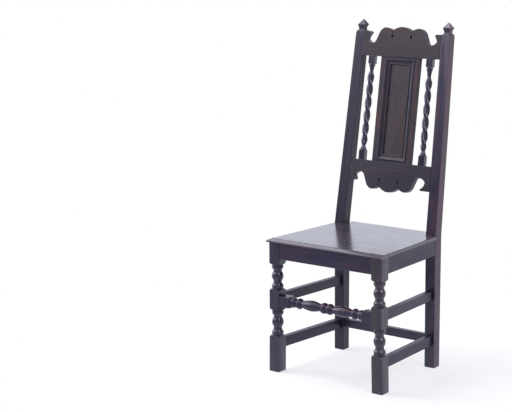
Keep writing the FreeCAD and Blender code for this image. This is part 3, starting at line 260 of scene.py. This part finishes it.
def finish_of(node):
    if node == "seat_board_pegs":
        return seat_oak
    if node.endswith("_pegs"):
        return peg_oak
    known = max((word for word in FINISHES if node.startswith(word)), key=len)
    return FINISHES[known]


for node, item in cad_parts.items():
    item.data.materials.clear()
    item.data.materials.append(finish_of(node))


# Turned and twisted pieces. Their sizes are the part's own, in millimetres, and each is shaped at
# the middle of its own foot, with its length upright, before it is put in its place.

LEG_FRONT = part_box("front_leg_right")[0].y
LEG_SQUARE = 39
LEG_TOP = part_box("front_leg_right")[1].z / MM
LEG_MIDDLE = 197.5
LOW_TURNING = (121.5, 206)
TOP_TURNING = (276, 357)
STRETCHER_SQUARE = 36
STRETCHER_HALF = 178
STRETCHER_TURNED_HALF = 140
STRETCHER_HEIGHT = 238
WORN_ARRIS, WORN_LEG_FOOT, ARRIS_STEPS = 1.5, 2.5, 3
# Points closer than this are one
MERGE = 0.01
# The legs have gone out of true below this height, by this much to the right at the foot
SPLAY_START, SPLAY_CURVE = 230, 1.2
LEG_SPLAY = {"right": 4.5, "left": -2.5}
TURNING_STEPS, COLLAR_STEPS, EYE_STEPS = 64, 40, 32

# Where a block ends, the lathe leaves a rounded slope: its length at the block's corners, and as
# shares of its run the place that it is rounded through. The outline clears the corners.
SHOULDER = 6
SLOPE_ALONG, SLOPE_OUT = 0.38, 0.52
CLEAR_OF_CORNERS = 1.5
PAST_THE_END = 5

# Turned outlines as shares of the length and of half the square; a pair of points is an arc
LEG_TURNING = [
    [(0.000, 0.90)],
    [(0.020, 0.90)],
    [(0.090, 0.985), (0.165, 0.92)],
    [(0.275, 0.70), (0.365, 0.79)],
    [(0.525, 0.985), (0.665, 0.80)],
    [(0.730, 0.71), (0.800, 0.80)],
    [(0.905, 0.98), (0.980, 0.90)],
    [(1.000, 0.90)],
]
STRETCHER_TURNING = [
    [(0.000, 0.72)],
    [(0.010, 0.80)],
    [(0.078, 0.985), (0.145, 0.80)],
    [(0.155, 0.61)],
    [(0.171, 0.61)],
    [(0.283, 0.82), (0.411, 0.985)],
    [(0.545, 0.87), (0.685, 0.61)],
    [(0.707, 0.61)],
    [(0.716, 0.80)],
    [(0.770, 0.975), (0.822, 0.80)],
    [(0.832, 0.66)],
    [(0.850, 0.68)],
    [(0.895, 0.84), (0.950, 0.90)],
    [(1.000, 0.88)],
]


def arc(start, through, end, steps=7):
    """Points after start, as far as end, on the circle through three points of an outline."""
    first, middle, last = corners = [Vector(spot) for spot in (start, through, end)]
    rises = (middle.y - last.y, last.y - first.y, first.y - middle.y)
    runs = (last.x - middle.x, first.x - last.x, middle.x - first.x)
    across = 2 * sum(corner.x * rise for corner, rise in zip(corners, rises))
    centre = Vector((
        sum(corner.length_squared * rise for corner, rise in zip(corners, rises)) / across,
        sum(corner.length_squared * run for corner, run in zip(corners, runs)) / across,
    ))
    sweep = (first - centre).angle_signed(last - centre)
    turns = [Matrix.Rotation(-sweep * step / steps, 2) for step in range(1, steps + 1)]
    return [tuple(centre + turn @ (first - centre)) for turn in turns]


def turned_outline(rows, foot, length, half):
    """Points of (height, radius) from rows of shares."""
    points = []
    for row in rows:
        spots = [(foot + length * along, half * out) for along, out in row]
        points += arc(points[-1], *spots) if len(spots) == 2 else spots
    return points


def block_slope(half, end, outward):
    """Three points of the slope of a block: at the turning's end, half way, and clear of the corners."""
    clear = half * CLEAR_OF_CORNERS
    run = outward * (clear - half) * SHOULDER / (half * (math.sqrt(2) - 1))
    return (end, half), (end + run * SLOPE_ALONG, half + (clear - half) * SLOPE_OUT), (end + run, clear)


def spun(points, steps):
    """A closed round shape from an outline of (height, radius) points that starts and ends on the axis."""
    shape = bmesh.new()
    spots = [shape.verts.new((radius, 0, height)) for height, radius in points]
    edges = [shape.edges.new(pair) for pair in zip(spots, spots[1:])]
    bmesh.ops.spin(
        shape, geom=spots + edges, cent=(0, 0, 0), axis=(0, 0, 1), angle=2 * math.pi, steps=steps,
        use_merge=True,
    )
    bmesh.ops.remove_doubles(shape, verts=shape.verts, dist=0.005)
    bmesh.ops.recalc_face_normals(shape, faces=shape.faces)
    # Half a step round, so that no point of a turning lies exactly on a flat face it is cut by
    return turned(shape, math.pi / steps, "Z")


def turned(shape, angle, axis):
    bmesh.ops.rotate(shape, cent=(0, 0, 0), matrix=Matrix.Rotation(angle, 3, axis), verts=shape.verts)
    return shape


def moved(shape, x, height):
    bmesh.ops.translate(shape, vec=(x, 0, height), verts=shape.verts)
    return shape


def square_bar(width, length):
    shape = bmesh.new()
    bmesh.ops.create_cube(shape, size=1)
    bmesh.ops.scale(shape, vec=(width, width, length), verts=shape.verts)
    return shape


def round_off(shape, edges, size, segments, held=False):
    """Round some edges of a shape; held keeps the rounding from running over its neighbours."""
    bmesh.ops.bevel(
        shape, geom=edges, offset=size, offset_type="OFFSET", segments=segments, profile=0.5,
        affect="EDGES", material=-1, clamp_overlap=held,
    )


def square_timber(width, low, high, worn_foot=0.0):
    """A square timber with worn corners, and a worn foot if it stands on the floor."""
    shape = moved(square_bar(width, high - low), 0, (low + high) / 2)
    corners = [edge for edge in shape.edges if abs(edge.verts[0].co.z - edge.verts[1].co.z) > 1]
    round_off(shape, corners, WORN_ARRIS, ARRIS_STEPS)
    if worn_foot:
        foot = [edge for edge in shape.edges if all(abs(end.co.z - low) < MERGE for end in edge.verts)]
        round_off(shape, foot, worn_foot, ARRIS_STEPS)
    return shape


def as_working_object(shape):
    mesh = bpy.data.meshes.new("working")
    shape.to_mesh(mesh)
    shape.free()
    holder = bpy.data.objects.new("working", mesh)
    bpy.context.scene.collection.objects.link(holder)
    return holder


def combined(first, second, operation):
    """What two closed shapes have in common, or what is left of the first one."""
    holders = [as_working_object(first), as_working_object(second)]
    work = holders[0].modifiers.new("work", "BOOLEAN")
    work.operation, work.solver, work.object = operation, "MANIFOLD", holders[1]
    bpy.context.view_layer.update()
    result = bmesh.new()
    result.from_object(holders[0], bpy.context.evaluated_depsgraph_get())
    for holder in holders:
        mesh = holder.data
        bpy.data.objects.remove(holder)
        bpy.data.meshes.remove(mesh)
    return result


def joined(*shapes):
    """Several closed shapes as one."""
    result = bmesh.new()
    for shape in shapes:
        mesh = bpy.data.meshes.new("working")
        shape.to_mesh(mesh)
        shape.free()
        result.from_mesh(mesh)
        bpy.data.meshes.remove(mesh)
    return result


def keep(shape, name, node, place, sharp=35):
    """Put a finished shape in its place and let it stand for a CAD node.

    Edges that turn by more than the sharp angle, in degrees, stay crisp.
    """
    shape.transform(place @ Matrix.Scale(MM, 4))
    mesh = bpy.data.meshes.new(name)
    shape.to_mesh(mesh)
    shape.free()
    mesh.polygons.foreach_set("use_smooth", [True] * len(mesh.polygons))
    mesh.set_sharp_from_angle(angle=math.radians(sharp))
    mesh.materials.append(finish_of(node))
    item = bpy.data.objects.new(name, mesh)
    bpy.context.scene.collection.objects.link(item)
    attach(item, "root")
    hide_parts(node)


def turned_leg(splay):
    """A square leg turned between its three blocks, whose foot stands out by the splay."""
    half = LEG_SQUARE / 2
    points = [(-PAST_THE_END, 0), (-PAST_THE_END, half * CLEAR_OF_CORNERS)]
    for foot, top in (LOW_TURNING, TOP_TURNING):
        near, through, clear = block_slope(half, foot, -1)
        points += [clear] + arc(clear, through, near)
        points += turned_outline(LEG_TURNING, foot, top - foot, half)
        near, through, clear = block_slope(half, top, 1)
        points += [near] + arc(near, through, clear)
    points += [(LEG_TOP + PAST_THE_END, half * CLEAR_OF_CORNERS), (LEG_TOP + PAST_THE_END, 0)]
    timber = square_timber(LEG_SQUARE, 0, LEG_TOP, WORN_LEG_FOOT)
    shape = combined(spun(points, TURNING_STEPS), timber, "INTERSECT")
    for spot in shape.verts:
        spot.co.x += splay * max(0, 1 - spot.co.z / SPLAY_START) ** SPLAY_CURVE
    return shape


def turned_stretcher():
    """Beads, vases and necks between two square ends, alike on both sides of the middle."""
    half = STRETCHER_SQUARE / 2
    near, through, clear = block_slope(half, STRETCHER_TURNED_HALF, 1)
    side = turned_outline(STRETCHER_TURNING, 0, STRETCHER_TURNED_HALF, half) + [near]
    side += arc(near, through, clear)
    side += [(STRETCHER_HALF + PAST_THE_END, half * CLEAR_OF_CORNERS), (STRETCHER_HALF + PAST_THE_END, 0)]
    points = [(-along, out) for along, out in reversed(side)] + side[1:]
    timber = square_timber(STRETCHER_SQUARE, -STRETCHER_HALF, STRETCHER_HALF)
    return combined(spun(points, TURNING_STEPS), timber, "INTERSECT")


LEG_AXIS_Y = LEG_FRONT + LEG_SQUARE / 2 * MM
for word, side in (("right", 1), ("left", -1)):
    middle_of_leg = Matrix.Translation((LEG_MIDDLE * side * MM, LEG_AXIS_Y, 0))
    keep(turned_leg(LEG_SPLAY[word]), f"turned_leg_{word}", f"front_leg_{word}", middle_of_leg)

lying = Matrix.Translation((0, LEG_AXIS_Y, STRETCHER_HEIGHT * MM)) @ Matrix.Rotation(math.pi / 2, 4, "Y")
keep(turned_stretcher(), "turned_stretcher", "front_stretcher", lying)

# The back leans: its own slope starts at the seat, on the front of the posts
POST_DISTANCE, SEAT_HEIGHT = 338, 441
BACK_SETBACK, BACK_RISE = 101, 634
LEAN = math.atan2(BACK_SETBACK, BACK_RISE)
BACK_FOOT = Vector((0, LEG_FRONT + POST_DISTANCE * MM, SEAT_HEIGHT * MM))
BACK_SLOPE = Matrix.Translation(BACK_FOOT) @ Matrix.Rotation(-LEAN, 4, "X")
LOWER_EDGE, UPPER_EDGE = 222, 569
SPINDLE_FOOT_OUT, SPINDLE_TOP_OUT = 116.8, 112.4
SPINDLE_BLOCK = 21.5
FOOT_BLOCK, TOP_BLOCK = 32.5, 26.5
FOOT_COLLAR = 16
TOP_COLLARS = {"left": 23.5, "right": 31.7}
COLLAR_LAP = 2
TWIST_LOBE, TWIST_WIDTH, TWIST_WAIST, TWIST_NECK = 43.3, 23, 11.5, 12.5
TWIST_START = 38
TWIST_POINTS, TWIST_STEPS = 40, 28
STRAND_CURVE = 1.05


def rope_twist(length):
    """Two strands that wind round each other, a sharp hollow between them, with a neck at each end."""
    lobes = length / TWIST_LOBE
    steps = round(lobes * TWIST_STEPS)
    start = math.radians(TWIST_START + 90 + 180 * lobes)
    shape = bmesh.new()
    bmesh.ops.create_circle(shape, cap_ends=False, segments=TWIST_POINTS, radius=1)
    for spot in shape.verts:
        around = math.atan2(spot.co.y, spot.co.x) - start
        spot.co *= (TWIST_WAIST + (TWIST_WIDTH - TWIST_WAIST) * abs(math.cos(around)) ** STRAND_CURVE) / 2
    bmesh.ops.spin(
        shape, geom=shape.verts[:] + shape.edges[:], cent=(0, 0, 0), axis=(0, 0, 1),
        dvec=(0, 0, length / steps), angle=-math.pi * lobes, steps=steps, use_merge=False,
    )
    # Within half a lobe of each end the strands sink into the neck
    for spot in shape.verts:
        to_end = min(spot.co.z, length - spot.co.z) / TWIST_LOBE
        swell = math.sin(math.pi / 2 * min(1, max(0, to_end) * 2))
        reach = spot.co.xy.length
        spot.co.xy *= (TWIST_NECK / 2 + (reach - TWIST_NECK / 2) * swell) / reach
    bmesh.ops.holes_fill(shape, edges=shape.edges, sides=0)
    bmesh.ops.recalc_face_normals(shape, faces=shape.faces)
    return shape


def foot_collar():
    """Outline of the turned collar on the foot block, up to the neck of the twist."""
    half, neck, run = SPINDLE_BLOCK / 2, TWIST_NECK / 2, FOOT_COLLAR
    outline = [(-COLLAR_LAP, 0), (-COLLAR_LAP, half * 0.97), (0, half * 0.97)]
    outline += arc(outline[-1], (run * 0.2, half), (run * 0.4, half * 0.93))
    outline += [(run * 0.42, half * 0.82), (run * 0.5, half * 0.82)]
    outline += arc(outline[-1], (run * 0.72, half * 0.66), (run, neck))
    return outline + [(run + COLLAR_LAP, neck), (run + COLLAR_LAP, 0)]


def top_collar(run):
    """Outline of the longer turned collar from the neck of the twist to the top block."""
    half, neck = SPINDLE_BLOCK / 2, TWIST_NECK / 2
    outline = [(-COLLAR_LAP, 0), (-COLLAR_LAP, neck), (0, neck)]
    outline += arc(outline[-1], (run * 0.4, half * 0.7), (run * 0.66, half * 0.86))
    outline += [(run * 0.68, half * 0.94)]
    outline += arc(outline[-1], (run * 0.83, half), (run * 0.98, half * 0.95))
    return outline + [(run + COLLAR_LAP, half * 0.95), (run + COLLAR_LAP, 0)]


def spindle(word):
    """A square block at each end, turned collars, and the twist between them, on the back's slope."""
    side = 1 if word == "right" else -1
    foot_top, top_foot = LOWER_EDGE + FOOT_BLOCK, UPPER_EDGE - TOP_BLOCK
    twist_foot, twist_top = foot_top + FOOT_COLLAR, top_foot - TOP_COLLARS[word]

    twist = rope_twist(twist_top - twist_foot)
    for spot in twist.verts:
        share = (twist_foot + spot.co.z - LOWER_EDGE) / (UPPER_EDGE - LOWER_EDGE)
        spot.co.x += side * (SPINDLE_FOOT_OUT + (SPINDLE_TOP_OUT - SPINDLE_FOOT_OUT) * share)
    shapes = [
        moved(square_timber(SPINDLE_BLOCK, 0, FOOT_BLOCK), side * SPINDLE_FOOT_OUT, LOWER_EDGE),
        moved(square_timber(SPINDLE_BLOCK, 0, TOP_BLOCK), side * SPINDLE_TOP_OUT, top_foot),
        moved(spun(foot_collar(), COLLAR_STEPS), side * SPINDLE_FOOT_OUT, foot_top),
        moved(spun(top_collar(TOP_COLLARS[word]), COLLAR_STEPS), side * SPINDLE_TOP_OUT, twist_top),
        moved(twist, 0, twist_foot),
    ]
    place = BACK_SLOPE @ Matrix.Translation((0, SPINDLE_BLOCK / 2 * MM, 0))
    keep(joined(*shapes), f"rope_spindle_{word}", f"twist_spindle_{word}", place, sharp=50)


for word in ("left", "right"):
    spindle(word)

# The round holes of the scalloped rails, up the slope of the back, and the cusps above or below them
EYE_OUT, EYE_WIDTH, EYE_MOUTH, EYE_DEPTH = 36.5, 8, 11, 3
CREST_EYE, CREST_CUSP = UPPER_EDGE + 66.5, UPPER_EDGE + 86
LOWER_EYE, LOWER_CUSP = LOWER_EDGE - 61, LOWER_EDGE - 82
KERF_WIDTH = 3.2
KERF_LAP = 2


def copy_of(node, place):
    """A CAD node's shape with its points merged, in millimetres, seen from a place of the chair."""
    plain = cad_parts[node].data.copy()
    for layer in [layer for layer in plain.attributes if layer.name == "custom_normal"]:
        plain.attributes.remove(layer)
    shape = bmesh.new()
    shape.from_mesh(plain)
    shape.transform(Matrix.Scale(1 / MM, 4) @ place.inverted())
    bmesh.ops.remove_doubles(shape, verts=shape.verts, dist=MERGE)
    bmesh.ops.recalc_face_normals(shape, faces=shape.faces)
    bmesh.ops.dissolve_limit(shape, angle_limit=math.radians(0.5), verts=shape.verts, edges=shape.edges)
    bpy.data.meshes.remove(plain)
    return shape


def cleaned(shape):
    """A cut shape without the slivers that a cut can leave."""
    bmesh.ops.remove_doubles(shape, verts=shape.verts, dist=MERGE)
    bmesh.ops.dissolve_degenerate(shape, dist=MERGE, edges=shape.edges)
    bmesh.ops.recalc_face_normals(shape, faces=shape.faces)
    return shape


def worn_mouth():
    """What is worn away at the front of a round hole: a cone that narrows to the hole."""
    outline = [
        (-EYE_DEPTH, 0), (-EYE_DEPTH, EYE_MOUTH / 2 + 2), (0, EYE_MOUTH / 2),
        (EYE_DEPTH, EYE_WIDTH / 2 + 0.05), (EYE_DEPTH, 0),
    ]
    return turned(spun(outline, EYE_STEPS), -math.pi / 2, "X")


def kerf(length):
    """A square bar on edge, half of which cuts a V into the rail's front."""
    return turned(square_bar(KERF_WIDTH / math.sqrt(2), length), math.pi / 4, "Z")


def carved_rail(name, node, eye, cusp):
    """A scalloped rail with worn mouths to its round holes and a scratched line from each to its cusp."""
    shape = copy_of(node, BACK_SLOPE)
    for side in (-1, 1):
        shape = combined(shape, moved(worn_mouth(), side * EYE_OUT, eye), "DIFFERENCE")
        scratch = moved(kerf(abs(cusp - eye) + KERF_LAP), side * EYE_OUT, (eye + cusp) / 2)
        shape = combined(shape, scratch, "DIFFERENCE")
    keep(cleaned(shape), name, node, BACK_SLOPE, sharp=30)


carved_rail("carved_crest_rail", "crest_rail", CREST_EYE, CREST_CUSP)
carved_rail("carved_lower_back_rail", "lower_back_rail", LOWER_EYE, LOWER_CUSP)

FOOT_ROUND, FOOT_ROUND_STEPS, FOOT_FLARE = 4, 4, 7
SOLE_HEIGHT = 0.1


def worn_post(word):
    """A rear post whose foot is rounded by wear and keeps a little more wood at its back."""
    shape = copy_of(f"rear_post_{word}", Matrix.Identity(4))
    sole = [spot for spot in shape.verts if spot.co.z < SOLE_HEIGHT]
    back = max(spot.co.y for spot in sole)
    for spot in sole:
        if back - spot.co.y < WORN_ARRIS * 2:
            spot.co.y += FOOT_FLARE
    rim = [edge for edge in shape.edges if all(end in sole for end in edge.verts)]
    round_off(shape, rim, FOOT_ROUND, FOOT_ROUND_STEPS, held=True)
    keep(cleaned(shape), f"worn_post_{word}", f"rear_post_{word}", Matrix.Identity(4), sharp=25)


for word in ("left", "right"):
    worn_post(word)


# Stage, light and camera

FRONT_COLOUR, BACK_COLOUR = "#d0caf0", "#e2e5f4"
SHADE_COLOUR = "#a0a0a4"
FLOOR_HALF = 30
# In metres from the chair's middle: where the floor's shade starts to fade, and where it is gone
FADE_START, FADE_END = 0.55, 1.15
# And where on the floor the room's front and back begin for a mirrored ray
ROOM_FRONT, ROOM_BACK = -1.5, 0.5


def room_colour(tree, way, front, back):
    """Daylight on the room's front wall is bluer than on the wall behind the chair."""
    return blend_colours(tree, spread(tree, way, front, back), linear(FRONT_COLOUR), linear(BACK_COLOUR))


def either(tree, factor, first, second):
    """The second shader where the factor is 1, the first one elsewhere."""
    return add(tree, "ShaderNodeMixShader", {"Fac": factor, 1: first.outputs[0], 2: second.outputs[0]})


def shadow_floor(name, surface_colour, plain_share):
    """A matt white floor: it shows the chair's soft shadow and fades to plain white further off."""
    material = bpy.data.materials.new(name)
    tree = empty_tree(material)
    here = add(tree, "ShaderNodeTexCoord").outputs["Object"]
    ray = add(tree, "ShaderNodeLightPath").outputs
    white = linear("#ffffff")
    lit = add(tree, "ShaderNodeBsdfDiffuse", {"Color": linear(surface_colour)})
    # Seen by the eye: mostly plain white, with a share of the real shade
    shade = add(tree, "ShaderNodeBsdfDiffuse", {"Color": linear(SHADE_COLOUR)})
    glow = add(tree, "ShaderNodeEmission", {"Color": white, "Strength": plain_share})
    near = add(tree, "ShaderNodeAddShader", {0: shade.outputs[0], 1: glow.outputs[0]})
    far = add(tree, "ShaderNodeEmission", {"Color": white, "Strength": 1.0})
    reach = add(tree, "ShaderNodeVectorMath", {0: here}, operation="LENGTH").outputs["Value"]
    shown = either(tree, spread(tree, reach, FADE_START, FADE_END), near, far)
    # Mirrored in the wax: the room is darker in front of the chair than behind it
    depth = add(tree, "ShaderNodeSeparateXYZ", {"Vector": here}).outputs["Y"]
    mirrored = add(
        tree, "ShaderNodeEmission",
        {
            "Color": room_colour(tree, depth, ROOM_FRONT, ROOM_BACK),
            "Strength": spread(tree, depth, ROOM_FRONT, ROOM_BACK, 0.8, 1.2),
        },
    )
    direct = either(tree, ray["Is Camera Ray"], lit, shown)
    surface = either(tree, ray["Is Glossy Ray"], direct, mirrored)
    add(tree, "ShaderNodeOutputMaterial", {"Surface": surface.outputs[0]})
    return material


def studio():
    """A white room: plain white to the eye, dim daylight on the wood, brighter at its back in the wax."""
    world = bpy.data.worlds.new("studio")
    tree = empty_tree(world)
    ray = add(tree, "ShaderNodeLightPath").outputs
    rays = {0: ray["Is Camera Ray"], 1: ray["Is Transmission Ray"]}
    seen = add(tree, "ShaderNodeMath", rays, operation="ADD").outputs[0]
    here = add(tree, "ShaderNodeTexCoord").outputs["Generated"]
    way = add(tree, "ShaderNodeSeparateXYZ", {"Vector": here}).outputs
    right_end = spread(tree, way["X"], 0.66, 0.95, 1, 0.35)
    walls = product(tree, spread(tree, way["Y"], -0.6, 0.5, 0.5, 1.25), right_end)
    ceiling = spread(tree, way["Z"], 0.2, 0.8, 0, 1.7)
    level = add(tree, "ShaderNodeMath", {0: walls, 1: ceiling}, operation="MAXIMUM").outputs[0]
    room = add(tree, "ShaderNodeBackground", {"Color": linear("#dfe2f2"), "Strength": 0.42})
    wall_colour = room_colour(tree, way["Y"], -0.6, 0.5)
    mirrored = add(tree, "ShaderNodeBackground", {"Color": wall_colour, "Strength": level})
    white = add(tree, "ShaderNodeBackground", {"Color": linear("#ffffff"), "Strength": 1.0})
    around = either(tree, ray["Is Glossy Ray"], room, mirrored)
    surface = either(tree, seen, around, white)
    add(tree, "ShaderNodeOutputWorld", {"Surface": surface.outputs[0]})
    return world


floor_shape = bmesh.new()
bmesh.ops.create_grid(floor_shape, x_segments=1, y_segments=1, size=FLOOR_HALF)
floor_mesh = bpy.data.meshes.new("floor")
floor_shape.to_mesh(floor_mesh)
floor_shape.free()
floor = bpy.data.objects.new("floor", floor_mesh)
floor_mesh.materials.append(shadow_floor("matt white floor", "#e4e4e6", 0.70))
bpy.context.scene.collection.objects.link(floor)

bpy.context.scene.world = studio()


def softbox(name, place, aim, size, watts, colour):
    """A large, even lamp."""
    lamp = bpy.data.lights.new(name, "AREA")
    lamp.shape = "RECTANGLE"
    lamp.size, lamp.size_y = size
    lamp.energy = watts
    lamp.color = linear(colour)[:3]
    item = bpy.data.objects.new(name, lamp)
    item.location = place
    item.rotation_euler = (Vector(aim) - Vector(place)).to_track_quat("-Z", "Y").to_euler()
    bpy.context.scene.collection.objects.link(item)


MIDDLE = (0, 0, 0.55)
softbox("softbox_right", (3.6, -0.8, 2.4), MIDDLE, (1.2, 1.8), 58, "#eee4ff")
softbox("softbox_left", (-3.0, -1.4, 2.0), MIDDLE, (1.3, 2.6), 62, "#eef0ff")
softbox("softbox_front", (-1.9, -3.6, 2.6), MIDDLE, (1.2, 1.4), 18, "#f4f5ff")
softbox("softbox_top", (-1.5, -0.1, 3.9), MIDDLE, (2.0, 2.0), 80, "#ffffff")

# The camera stands where the photographer's did: metres, and turns in radians
FOCAL_PIXELS = 1520.4
PICTURE_WIDTH = 512
# The picture's middle is 20 pixels above the lens's, as in the photograph's own crop
CAMERA_SHIFT = -20 / PICTURE_WIDTH
camera_data = bpy.data.cameras.new("camera")
camera_data.sensor_width = 36
camera_data.lens = FOCAL_PIXELS * camera_data.sensor_width / PICTURE_WIDTH
camera_data.shift_y = CAMERA_SHIFT
camera = bpy.data.objects.new("camera", camera_data)
CAMERA_TURN, CAMERA_DIP, CAMERA_ROLL = 0.67074, 0.17649, -0.00926
camera.matrix_world = (
    Matrix.Translation((2.7261, -4.0041, 1.4671))
    @ Matrix.Rotation(CAMERA_TURN, 4, "Z")
    @ Matrix.Rotation(math.pi / 2 - CAMERA_DIP, 4, "X")
    @ Matrix.Rotation(CAMERA_ROLL, 4, "Z")
)
bpy.context.scene.collection.objects.link(camera)
bpy.context.scene.camera = camera
bpy.context.scene.view_settings.view_transform = "Standard"
